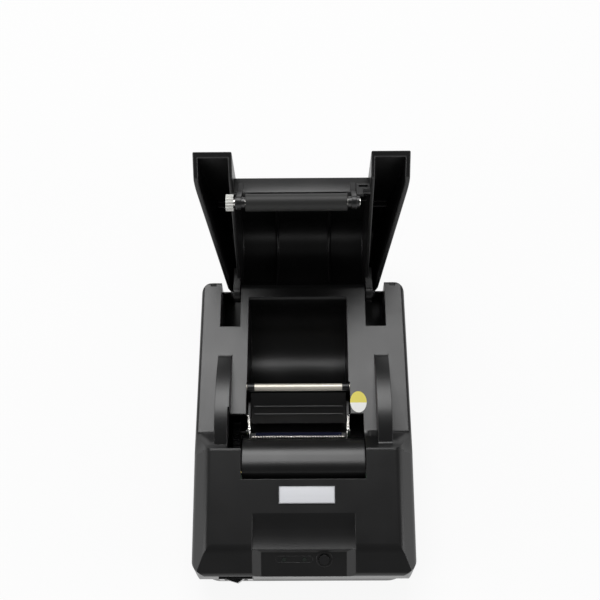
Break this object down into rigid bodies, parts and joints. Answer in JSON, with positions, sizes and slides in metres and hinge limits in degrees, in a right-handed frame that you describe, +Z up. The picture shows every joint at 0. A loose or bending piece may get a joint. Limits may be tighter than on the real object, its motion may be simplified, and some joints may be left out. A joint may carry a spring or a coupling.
{
  "type": "receipt printer",
  "caption": "Desktop thermal receipt printer with its hinged lid open: paper well, print mechanism, platen roller on the lid, feed button and power rocker.",
  "frame": {"origin": "middle of the plane that the four rubber feet rest on, under the body's centre", "axes": "+Z up, -Y towards the front, where the paper leaves, +X to the viewer's right from the front"},
  "size_m": [0.127, 0.2284, 0.1418],
  "materials": {
    "black_case": "fine-textured satin black",
    "dark_plastic": "satin black",
    "gloss_black": "gloss black",
    "bright_steel": "bright plated",
    "steel": "ground",
    "heatsink_alu": "extruded",
    "head_glaze": "glossy blue-black glaze",
    "roller_rubber": "ground matte",
    "foot_rubber": "matte",
    "white_gear": "natural acetal",
    "brass_gear": "machined",
    "board_green": "solder resist",
    "lamp": "clear, unlit",
    "badge": "satin silver, bare",
    "label": "printed plain yellow and white"
  },
  "bodies": {
    "base": {"bottom_cover": "black_case", "upper_housing": "black_case", "front_cover": "black_case", "exit_cover": "black_case", "tear_bar": "steel", "mechanism_frame": "dark_plastic", "thermal_head": "head_glaze", "head_heatsink": "heatsink_alu", "head_spring_plate": "steel", "paper_guide": "dark_plastic", "guide_bar": "steel", "paper_sensor": "dark_plastic", "stepper_motor": "steel", "main_board": "board_green", "panel_board": "board_green", "light_pipes": "lamp", "tact_switch": "dark_plastic", "switch_housing": "gloss_black", "dc_jack": "dark_plastic", "data_port": "steel", "drawer_port": "dark_plastic", "platen_catches": "bright_steel", "rubber_feet": "foot_rubber", "case_screws": "steel", "hinge_pins": "dark_plastic", "badge_plate": "badge", "oval_label": "label"},
    "lid": {"lid_shell": "black_case", "platen_holder": "dark_plastic", "latch_block": "dark_plastic", "platen_bushings": "steel"},
    "platen": {"platen_shaft": "steel", "platen_rubber": "roller_rubber", "platen_gear": "white_gear"},
    "power_rocker": {"power_rocker": "gloss_black"},
    "feed_button": {"feed_button": "dark_plastic"},
    "pinion": {"motor_pinion": "brass_gear"},
    "reduction_gear": {"reduction_gear": "dark_plastic"},
    "drive_gear": {"drive_gear": "dark_plastic"}
  },
  "joints": [
    {"name": "lid_hinge", "type": "hinge", "parent": "base", "child": "lid", "pos_m": [0, 0.0852, 0.0398], "axis": [1, 0, 0], "range_deg": [0, 102]},
    {"name": "platen_spin", "type": "hinge", "parent": "lid", "child": "platen", "pos_m": [0, 0.09795, 0.12767], "axis": [1, 0, 0], "continuous": true},
    {"name": "rocker_tip", "type": "hinge", "parent": "base", "child": "power_rocker", "pos_m": [-0.0385, -0.08563, 0.02747], "axis": [0, -0.1293, 0.9916], "range_deg": [-16, 0]},
    {"name": "feed_press", "type": "slide", "parent": "base", "child": "feed_button", "axis": [0, 0.5547, -0.8321], "range_m": [0, 0.001], "stiffness_N_per_m": 250},
    {"name": "reduction_spin", "type": "hinge", "parent": "base", "child": "reduction_gear", "pos_m": [0, -0.01451, 0.01946], "axis": [1, 0, 0], "continuous": true},
    {"name": "drive_spin", "type": "hinge", "parent": "base", "child": "drive_gear", "pos_m": [0, -0.00141, 0.02272], "axis": [1, 0, 0], "continuous": true},
    {"name": "pinion_spin", "type": "hinge", "parent": "base", "child": "pinion", "pos_m": [0, -0.0247, 0.01692], "axis": [1, 0, 0], "continuous": true}
  ],
  "couplings": [
    {"joint": "drive_spin", "follows": "reduction_spin", "ratio": -1.25},
    {"joint": "pinion_spin", "follows": "reduction_spin", "ratio": -2.5}
  ]
}
